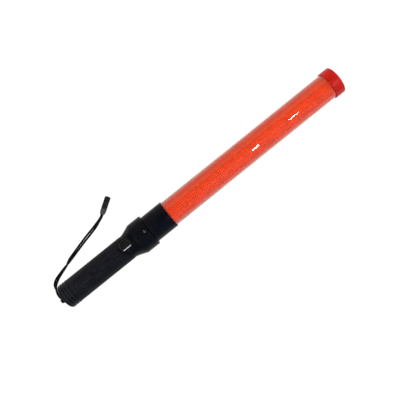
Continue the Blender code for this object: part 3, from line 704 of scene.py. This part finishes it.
def make_camera():
    """It looks straight down on the baton, which points to the frame's upper right."""
    data = bpy.data.cameras.new("camera")
    data.angle = 2 * atan(VIEW_HALF_WIDTH / CAMERA_HEIGHT)
    data.clip_start, data.clip_end = 0.01, 20
    camera = bpy.data.objects.new("camera", data)
    bpy.context.scene.collection.objects.link(camera)
    camera.location = (*CAMERA_PLACE, AXIS_Z + CAMERA_HEIGHT)
    camera.rotation_euler = (0, 0, -CAMERA_TURN)
    bpy.context.scene.camera = camera


def make_lamp(name, place, target, size, power, colour=(1, 1, 1)):
    """A soft rectangular lamp, size = (width, height), that faces its target. It lights and reflects,
    but neither the camera nor a ray through the clear tube sees it."""
    data = bpy.data.lights.new(name, "AREA")
    data.shape = "RECTANGLE"
    data.size, data.size_y = size
    data.energy = power
    data.color = colour
    lamp = bpy.data.objects.new(name, data)
    bpy.context.scene.collection.objects.link(lamp)
    lamp.location = place
    away = Vector(place) - Vector(target)
    lamp.rotation_euler = away.to_track_quat("Z", "Y").to_euler()
    lamp.visible_transmission = False
    lamp.visible_camera = False


def make_stage():
    """A lit white table in a grey room, with soft lamps beyond both ends of the baton and on both
    sides. A strip and two small lamps above it make the glints along the tube."""
    glow = {"Emission Color": (1, 1, 1, 1), "Emission Strength": 0.9}
    look = Look("light_table", {"Specular IOR Level": 0.1, **glow})
    grain = look.noise(0.4, detail=3)
    colour = look.blend(look.spread(grain, 0, 1), (0.2, 0.2, 0.2), (0.22, 0.22, 0.22))
    look.finish(colour, look.spread(grain, 0.85, 0.95), look.bump(grain, 0.2 * MM, 0.1))
    reach = 6.0
    rows = [[Vector((x, y, 0)) for y in (-reach, reach)] for x in (-reach, reach)]
    floor = grid("floor", rows, look.material, around=False)

    world = bpy.data.worlds.new("soft_room")
    world.use_nodes = True
    background = world.node_tree.nodes["Background"]
    background.inputs["Color"].default_value = (0.97, 0.97, 0.97, 1)
    background.inputs["Strength"].default_value = 0.25
    bpy.context.scene.world = world

    centre = (0, 0, AXIS_Z)
    make_lamp("butt_end_lamp", (-1.1, 0, 1.75), centre, (2.6, 0.5), 24)
    make_lamp("tip_end_lamp", (1.75, 0, 0.9), centre, (2.6, 1.0), 29)
    make_lamp("near_side_lamp", (0.15, -1.9, 0.95), centre, (3.0, 1.9), 8, (0.62, 0.82, 1.0))
    make_lamp("far_side_lamp", (0, 1.9, 0.95), centre, (3.0, 1.9), 19, (1.0, 0.6, 0.42))
    make_lamp("strip_lamp", (0.29, -0.62, 1.5), centre, (0.87, 0.6), 0.6)
    make_lamp("spot_lamp_a", (0.36, -0.644, 1.52), (0.36, 0, 0), (0.05, 0.3), 2.4)
    make_lamp("spot_lamp_b", (0.695, -0.45, 1.52), (0.695, 0, 0), (0.05, 0.3), 2.4)


# The handle


def step_between(value, low, high):
    """0 below low, 1 above high, and smooth between."""
    share = min(max((value - low) / (high - low), 0.0), 1.0)
    return share * share * (3 - 2 * share)


def outside_by(x, y, size):
    """How far a point lies outside a rectangle with round corners; negative inside."""
    length, width, corner = size
    dx = abs(x) - (length / 2 - corner)
    dy = abs(y) - (width / 2 - corner)
    return hypot(max(dx, 0), max(dy, 0)) + min(max(dx, dy), 0) - corner


def flare(x):
    """The radius of the handle in front of the grip: a concave rise that eases over into the bell."""
    share = min(max((x - FLARE_START) / (FLARE_END - FLARE_START), 0), 1)
    rise = BELL_RADIUS - GRIP_ROOT
    return GRIP_ROOT + rise * (share * share * (1.9 - 0.9 * share))


def rib(angle):
    """The height of the grip's ribs at this angle: flat tops with rounded flanks."""
    share = (angle / (2 * pi) * RIB_COUNT) % 1.0
    return step_between(0.5 - abs(share - 0.5), 0.1, 0.28)


def pad_radius(x, angle, radius):
    """The skin's radius with the switch's raised pad and the pocket in it."""
    tilt = angle - (pi / 2 - SWITCH_ROLL)
    if abs(x - SWITCH_X) > 16 * MM or abs(tilt) > radians(40):
        return radius
    across = PAD_TOP * tan(tilt)
    outside = outside_by(x - SWITCH_X, across, PAD_SIZE)
    pad = max(PAD_TOP / cos(tilt), radius)
    radius += (pad - radius) * (1 - step_between(outside, -0.3 * MM, 1.6 * MM))
    pocket = outside_by(x - SWITCH_X, POCKET_FLOOR * tan(tilt), POCKET_SIZE)
    floor = POCKET_FLOOR / cos(tilt)
    return radius + (floor - radius) * (1 - step_between(pocket, -0.3 * MM, 0.1 * MM))


def skin_radius(x, angle):
    """The handle's outer radius in front of the tail cap's spigot."""
    across = 20 * MM * (angle - pi / 2 + SWITCH_ROLL)
    near_switch = outside_by(x - SWITCH_X, across, PAD_CLEARING)
    ribs = step_between(x, GRIP_START - 0.1 * MM, GRIP_START + 0.9 * MM)
    ribs *= 1 - step_between(x, RIBS_END - 4 * MM, RIBS_END + 3 * MM)
    ribs *= step_between(near_switch, -1.5 * MM, 1.0 * MM)
    return pad_radius(x, angle, flare(x) + RIB_HEIGHT * ribs * rib(angle))


def thread_radius(x, angle):
    """The spigot's radius, with its thread between plain ends."""
    wave = (x / THREAD_PITCH + angle / (2 * pi)) % 1.0
    crest = step_between(abs(wave - 0.5), 0.12, 0.3)
    cut = step_between(x, *THREAD_START) * (1 - step_between(x, *THREAD_END))
    return SPIGOT_RADIUS - THREAD_DEPTH * crest * cut


def skin_stations():
    """Where the handle's rows lie: close together at the switch and at the edges."""
    stations = [GRIP_START + k * 0.2 * MM for k in range(7)]
    stations += [30 * MM, 60 * MM, 90 * MM, 106 * MM]
    count = ceil((FLARE_END - 108 * MM) / (0.45 * MM))
    stations += [108 * MM + k * (FLARE_END - 108 * MM) / count for k in range(count + 1)]
    return stations


def ring(x, radius):
    """One row round the handle. radius is a number or a function of the station and the angle."""
    row = []
    for k in range(COLUMNS):
        angle = 2 * pi * k / COLUMNS
        r = radius(x, angle) if callable(radius) else radius
        row.append(Vector((BUTT_X + x, r * cos(angle), AXIS_Z + r * sin(angle))))
    return row


def make_handle(black):
    """Grip, flare and bell in one moulding, hollow for the cells and the collar."""
    bevel = 0.4 * MM
    rows = [ring(SPIGOT_START, SPIGOT_RADIUS - 0.5 * MM)]
    for k in range(THREAD_ROWS + 1):
        x = SPIGOT_START + bevel + (GRIP_START - SPIGOT_START - bevel) * k / THREAD_ROWS
        rows.append(ring(x, thread_radius))
    rows += [ring(x, skin_radius) for x in skin_stations()]
    front = rounded(
        [
            (FLARE_END + 1 * MM, BELL_RADIUS),
            (BELL_END, BELL_RADIUS, 1.2 * MM),
            (BELL_END, CAVITY_RADIUS, 0.3 * MM),
            (BORE_END, CAVITY_RADIUS),
            (BORE_END, BORE_RADIUS),
            (SPIGOT_START, BORE_RADIUS, 0.3 * MM),
            (SPIGOT_START, SPIGOT_RADIUS - 0.5 * MM),
        ]
    )
    rows += [ring(x, r) for x, r in front[:-1]]
    housing = grid("handle_moulding", rows, black, closed=True)

    hole, seat, sink = 1.4 * MM, 2.8 * MM, 4.4 * MM
    outline = [(17 * MM, 0), (17 * MM, hole), (SCREW_SEAT, hole), (SCREW_SEAT, seat)]
    screw_hole = turned_post("screw_hole", [*outline, (25.4 * MM, seat), (27 * MM, sink)], None)
    levels = (POCKET_FLOOR + 0.3 * MM, POCKET_FLOOR + 2.7 * MM)
    channel = stack("wire_channel", [(round_rectangle(WIRE_CHANNEL), z) for z in levels], None)
    channel.data.transform(Matrix.Translation((WIRE_CHANNEL_AHEAD, 0, 0)))
    levels = (-17.4 * MM, -14 * MM)
    groove = stack("strip_groove", [(round_rectangle(STRIP_GROOVE), z) for z in levels], None)
    cutters = (
        mounted(screw_hole, SCREW_X, SCREW_ROLL),
        mounted(channel, SWITCH_X, SWITCH_ROLL),
        mounted(groove, STRIP_GROOVE_X, 0),
    )
    combine(housing, "DIFFERENCE", *cutters)
    stand_in(smooth(housing), "grip_housing")


# The switch


def make_switch(polished, rubber):
    """The rounded bezel, and the domed button with its skirt."""
    low, high = 22.8 * MM, 23.9 * MM
    outer, inner = 0.75 * MM, 0.35 * MM  # the rounding of its edges
    layers = [(round_rectangle(WINDOW_SIZE), low), (round_rectangle(BEZEL_SIZE), low)]
    for k in range(7):
        a = k / 6 * pi / 2
        outline = round_rectangle(BEZEL_SIZE, grow=-outer * (1 - cos(a)))
        layers.append((outline, high - outer * (1 - sin(a))))
    for k in range(5):
        a = k / 4 * pi / 2
        outline = round_rectangle(WINDOW_SIZE, grow=inner * (1 - sin(a)))
        layers.append((outline, high - inner * (1 - cos(a))))
    bezel = stack("switch_bezel_ring", layers, polished, closed=True)
    stand_in(mounted(bezel, SWITCH_X, SWITCH_ROLL), "switch_bezel")

    flange_low, flange_high = 21.9 * MM, 22.5 * MM
    layers = [
        (round_rectangle(FLANGE_SIZE), flange_low),
        (round_rectangle(FLANGE_SIZE), flange_high),
        (round_rectangle(BUTTON_SIZE), flange_high + 0.01 * MM),
    ]
    inset = BUTTON_SIZE[2] - 0.2 * MM
    rings = 12
    for k in range(rings + 1):
        a = k / rings * pi / 2
        rise = 0.55 * (sin(a) ** 0.5) + 0.45 * sin(a)
        outline = round_rectangle(BUTTON_SIZE, grow=-inset * (1 - cos(a)))
        layers.append((outline, button_height(flange_high + 1.1 * MM, rise)))
    button = stack("switch_button_cap", layers, rubber)
    stand_in(mounted(button, SWITCH_X, SWITCH_ROLL), "switch_button")


def button_height(base, rise):
    """The button's crown at one level, with three low ridges across its middle."""

    def height(x, _):
        ridge = max(0.0, cos(x / (1.5 * MM) * 2 * pi / 1.6)) ** 2 if abs(x) < 3.4 * MM else 0.0
        return base + (BUTTON_TOP - BUTTON_RIDGE - base) * rise + BUTTON_RIDGE * ridge * rise**4

    return height


def make_screw(steel):
    """A pan head screw with a cross recess."""
    low = SCREW_SEAT + 0.3 * MM
    shank, end = 1.1 * MM, 18.9 * MM
    profile = [(end, 0), (end, shank), (low, shank), (low, 2.3 * MM), (low + 0.15 * MM, 2.4 * MM)]
    for k in range(7):
        a = k / 6 * pi / 2
        profile.append((low + 0.5 * MM + 1.0 * MM * sin(a), (0.9 + 1.5 * cos(a)) * MM))
    screw = turned_post("bell_screw", profile, steel)
    bars = []
    for turn in (0, pi / 2):
        size = (3.0 * MM, 0.6 * MM, 0.25 * MM)
        bar = stack("recess", [(round_rectangle(size), h) for h in (25.7 * MM, 27 * MM)], None)
        bar.data.transform(Matrix.Rotation(turn + pi / 5, 4, "Z"))
        bars.append(bar)
    combine(screw, "DIFFERENCE", *bars)
    stand_in(smooth(mounted(screw, SCREW_X, SCREW_ROLL)), "collar_screw")


# The light


def make_collar(black):
    """The collar, which reaches back into the bell and holds the tube in its mouth."""
    root, root_radius, bore = COLLAR_ROOT
    outline = [
        (COLLAR_END, COLLAR_RADIUS, 0.8 * MM),
        (BELL_END + 0.3 * MM, COLLAR_RADIUS, 0.3 * MM),
        (BELL_END + 0.3 * MM, root_radius),
        (root, root_radius, 0.3 * MM),
        (root, bore, 0.3 * MM),
        (COLLAR_STEP, bore),
        (COLLAR_STEP, MOUTH_RADIUS),
        (COLLAR_END, MOUTH_RADIUS, 0.25 * MM),
    ]
    stand_in(turned("tube_collar_moulding", rounded(outline), black), "tube_collar")


def make_light(clear, film, red):
    """The clear tube, the film sleeve inside it, and the tip cap over its end."""
    inner = TUBE_RADIUS - TUBE_WALL
    outline = [
        (TUBE_END, TUBE_RADIUS, 0.3 * MM),
        (TUBE_START, TUBE_RADIUS, 0.3 * MM),
        (TUBE_START, inner, 0.3 * MM),
        (TUBE_END, inner, 0.3 * MM),
    ]
    stand_in(turned("clear_tube", rounded(outline), clear), "outer_tube")

    inside = SLEEVE_RADIUS - SLEEVE_WALL
    outline = [
        (SLEEVE_END, SLEEVE_RADIUS),
        (TUBE_START, SLEEVE_RADIUS),
        (TUBE_START, inside),
        (SLEEVE_END, inside),
    ]
    stand_in(turned("prism_film_sleeve", outline, film), "prism_sleeve")

    outline = [
        (BATON_LENGTH, 0.0),
        (BATON_LENGTH, COLLAR_RADIUS, 1.4 * MM),
        (TIP_START, COLLAR_RADIUS, 0.6 * MM),
        (TIP_START, MOUTH_RADIUS, 0.2 * MM),
        (TIP_FLOOR, MOUTH_RADIUS),
        (TIP_FLOOR, 0.0),
    ]
    stand_in(turned("tip_cap_moulding", rounded(outline, 6), red), "tip_cap")


# The tail cap and the strap


def make_tail_cap(black):
    """The ringed cap, with its strap eye as part of the moulding and a plain bore inside."""
    floor, inside = 2.5 * MM, SPIGOT_RADIUS + 0.3 * MM
    outline = [(floor, 0.0), (floor, inside + THREAD_DEPTH), (CAP_LENGTH, inside, 0.2 * MM)]
    outline.append((CAP_LENGTH, CAP_VALLEY, 0.25 * MM))
    # Each ring is a flat crest between two sloping flanks.
    for k in reversed(range(RING_COUNT)):
        centre = RING_FIRST + k * RING_PITCH
        outline += [
            (centre + 1.4 * MM, CAP_VALLEY, 0.35 * MM),
            (centre + 0.8 * MM, CAP_RADIUS, 0.4 * MM),
            (centre - 1.0 * MM, CAP_RADIUS, 0.5 * MM),
            (centre - 1.9 * MM, CAP_VALLEY, 0.35 * MM),
        ]
    outline += [
        (2.4 * MM, CAP_RADIUS - 0.2 * MM, 0.6 * MM),
        (0.0, CAP_RADIUS - 1.9 * MM, 1.3 * MM),
        (0.0, 15.2 * MM, 0.3 * MM),
        (0.5 * MM, 14.6 * MM, 0.3 * MM),
        (0.5 * MM, 0.0),
    ]
    cap = turned("tail_cap_moulding", rounded(outline), black)

    bar_x = EYE_WIRE - EYE_REACH
    corner = []
    for k in range(9):
        a = k / 8 * pi / 2
        x, y = bar_x + EYE_CORNER * (1 - sin(a)), EYE_HALF_WIDTH - EYE_CORNER * (1 - cos(a))
        corner.append(Vector((BUTT_X + x, y, AXIS_Z)))
    start = Vector((BUTT_X + 1.6 * MM, EYE_HALF_WIDTH, AXIS_Z))
    half = [start, *corner]
    mirrored = [Vector((p.x, -p.y, p.z)) for p in reversed(half)]
    eye = tube("strap_eye", half + mirrored, EYE_WIRE, None, 24)
    combine(cap, "UNION", eye)
    stand_in(smooth(cap), "tail_cap")


def strand_points(side):
    """One strand of the strap: it runs beside the other, turns round it, and lies on it or under it."""
    route = []
    for x, y, z, half, turn in STRAP_ROUTE:
        route.append((BUTT_X + x * MM, y * MM, z * MM, half * MM, radians(turn)))
    centre = smooth_path(route, CORD_STEP)
    points = []
    for i, place in enumerate(centre):
        ahead = centre[min(i + 1, len(centre) - 1)]
        behind = centre[max(i - 1, 0)]
        along = Vector((ahead[0] - behind[0], ahead[1] - behind[1], 0)).normalized()
        across = Vector((-along.y, along.x, 0))
        half, turn = place[3], place[4]
        lift = Vector((0, 0, half * (abs(sin(turn)) + side * sin(turn))))
        points.append(Vector(place[:3]) + across * side * half * cos(turn) + lift)
    return points


def braid(run, angle):
    """The relief of a braid: yarns that cross in two directions."""
    turn = 2 * pi * run / YARN_PITCH
    return YARN_HEIGHT * (max(sin(YARNS * angle + turn), sin(YARNS * angle - turn)) - 0.6)


def make_strap(cord, sheath):
    """The knot on the eye, the two strands, and the flat end piece that holds them."""
    end = make_strap_end(sheath)
    strands = (("strap_cord_a", "strap_strand_a", 1), ("strap_cord_b", "strap_strand_b", -1))
    for name, node, side in strands:
        points = strand_points(side)
        fine = smooth_path(points, BRAID_STEP)
        strand = tube(name, fine, CORD_DIAMETER / 2 + CORD_FUZZ, cord, relief=braid)
        stand_in(strand, node)
    make_knot(cord)


def make_knot(cord):
    """The strap's loop round the eye's bar: two turns, a band over them, and leads to the strands."""
    radius = CORD_DIAMETER / 2
    bar = Vector((BUTT_X + EYE_WIRE - EYE_REACH, 0, AXIS_Z))
    hold = EYE_WIRE + radius + 0.05 * MM

    def about(y, angle, reach):
        """A place round the bar. Angle 0 points away from the cap, and 90 degrees up."""
        return bar + Vector((-reach * cos(angle), y, reach * sin(angle)))

    turns = []
    steps = 40
    for name, y, drift in (("turn_a", -3.4 * MM, 0.6 * MM), ("turn_b", -0.2 * MM, -0.6 * MM)):
        path = []
        for k in range(steps + 1):
            path.append(about(y + drift * k / steps, radians(-100 + 340 * k / steps), hold))
        turns.append(tube(name, path, radius, cord, relief=braid))
    band = []
    steps = 24
    for k in range(steps + 1):
        reach = hold + 1.9 * MM * sin(pi * k / steps) ** 0.5
        band.append(about((-4.2 + 5.0 * k / steps) * MM, radians(-50), reach))
    turns.append(tube("band", band, radius * 1.05, cord, relief=braid))
    for side in (1, -1):
        start, ahead = strand_points(side)[:2]
        inner = bar + Vector((side * 0.9 * MM, -2.3 * MM, -2.6 * MM))
        sag = (inner + start) / 2 + Vector((0, 0, -0.5 * MM))
        path = smooth_path([inner, sag, start, start + (ahead - start) * 0.1], BRAID_STEP)
        turns.append(tube("lead", path, radius * 0.99, cord, relief=braid))
    stand_in(smooth(joined("strap_knot", *turns), 50), "strap_hitch")


def make_strap_end(sheath):
    """A flat sheath, tapered to the cord, with finger grooves across its outer half and a squared end.
    Its own X runs from the strands outwards, and share goes from 0 to 1 along it."""
    rows = []
    sides, count, grooves = 48, 90, 5
    middle_z, half_height = (END_LOW + END_HIGH) / 2, (END_HIGH - END_LOW) / 2
    for i in range(count + 1):
        share = i / count
        x = (share - 0.5) * END_LENGTH - END_OVERLAP * (1 - share)
        # It widens from the strands on, and both of its ends are rounded off.
        swell = step_between(share, -0.3, 0.2)
        start = (share / 0.03) ** 0.5 if share < 0.03 else 1.0
        finish = 1 - (2 * (share - 0.93) / 0.14) ** 3 * 0.5 if share > 0.93 else 1.0
        half_width = END_WIDTH / 2 * swell * finish * (0.6 + 0.4 * start)
        groove = 0.0
        if 0.5 < share < 0.9:
            turn = (share - 0.5) / 0.4 * grooves * 2 * pi
            groove = max(0.0, sin(turn - pi / 2)) ** 0.7 * 0.3 * MM
        rise = 0.92 + 0.08 * step_between(share, 0, 0.4)
        height = half_height * rise * finish * (0.5 + 0.5 * start)
        row = []
        for k in range(sides):
            a = 2 * pi * k / sides
            c, s = cos(a), sin(a)
            y = half_width * abs(c) ** 0.55 * (1 if c > 0 else -1)
            z = height * abs(s) ** 0.6 * (1 if s > 0 else -1)
            z -= groove if s > 0.3 else 0.0
            row.append(Vector((x, y, middle_z - (half_height - height) * 0.6 + z)))
        rows.append(row)
    rows = [[middle(rows[0])], *rows, [middle(rows[-1])]]
    end = smooth(grid("strap_end_sheath", rows, sheath))
    turn = Matrix.Rotation(END_TURN, 4, "Z")
    end.data.transform(Matrix.Translation((BUTT_X + END_CENTRE[0], END_CENTRE[1], 0)) @ turn)
    stand_in(end, "strap_end")
    return end


# What is inside keeps its CAD shape, with a proper material


def dress(material, *names):
    """Gives these CAD nodes the material."""
    for name in names:
        node = NODES[name]
        node.data.materials.clear()
        node.data.materials.append(material)


def dress_inside(rubber):
    steel = brushed_metal("plated_steel", (0.4, 0.4, 0.42), (0.62, 0.62, 0.64))
    brass = brushed_metal("brass_sheet", (0.5, 0.33, 0.1), (0.75, 0.55, 0.24))
    white = plain_moulding("white_moulding", (0.72, 0.72, 0.7), (0.82, 0.82, 0.8))
    chip = plain_moulding("chip_resin", (0.01, 0.01, 0.011), (0.02, 0.02, 0.022), (0.45, 0.65))
    red_wire = plain_moulding("red_wire", (0.5, 0.01, 0.01), (0.6, 0.02, 0.02))
    black_wire = plain_moulding("black_wire", (0.008, 0.008, 0.008), (0.016, 0.016, 0.016))
    gloss, coat = (0.08, 0.16), {"Coat Weight": 0.5}
    lens = plain_moulding("led_lens", (0.6, 0.01, 0.01), (0.75, 0.02, 0.02), gloss, coat)
    board = circuit_board()
    dress(steel, "tail_contact", "tail_spring")
    dress(brass, "contact_strip", "front_contact")
    dress(white, "contact_carrier", "tip_reflector", "driver_resistor", "switch_stem")
    dress(white, *(f"board_holder_{k}" for k in (1, 2, 3)))
    dress(chip, "driver_chip", "driver_capacitor", "switch_body")
    dress(board, "driver_board", "switch_board", "led_board")
    dress(red_wire, "switch_wire_red", "led_wire_red")
    dress(black_wire, "switch_wire_black", "led_wire_black")
    dress(lens, *(f"led_{k}" for k in range(1, 9)))
    dress(cell_wrap(), "battery_rear", "battery_front")
    dress(rubber, "tail_gasket", "tube_gasket")


def main():
    make_camera()
    make_stage()
    black, rubber = moulded_black(), soft_rubber()
    make_strap(braided_cord(), satin_sheath())
    dress_inside(rubber)
    make_handle(black)
    make_switch(bezel_black(), rubber)
    make_screw(black_oxide())
    make_collar(black)
    make_light(clear_acrylic(), prism_film(), red_moulding())
    make_tail_cap(black)


main()
bpy.context.scene.view_settings.view_transform = "Standard"
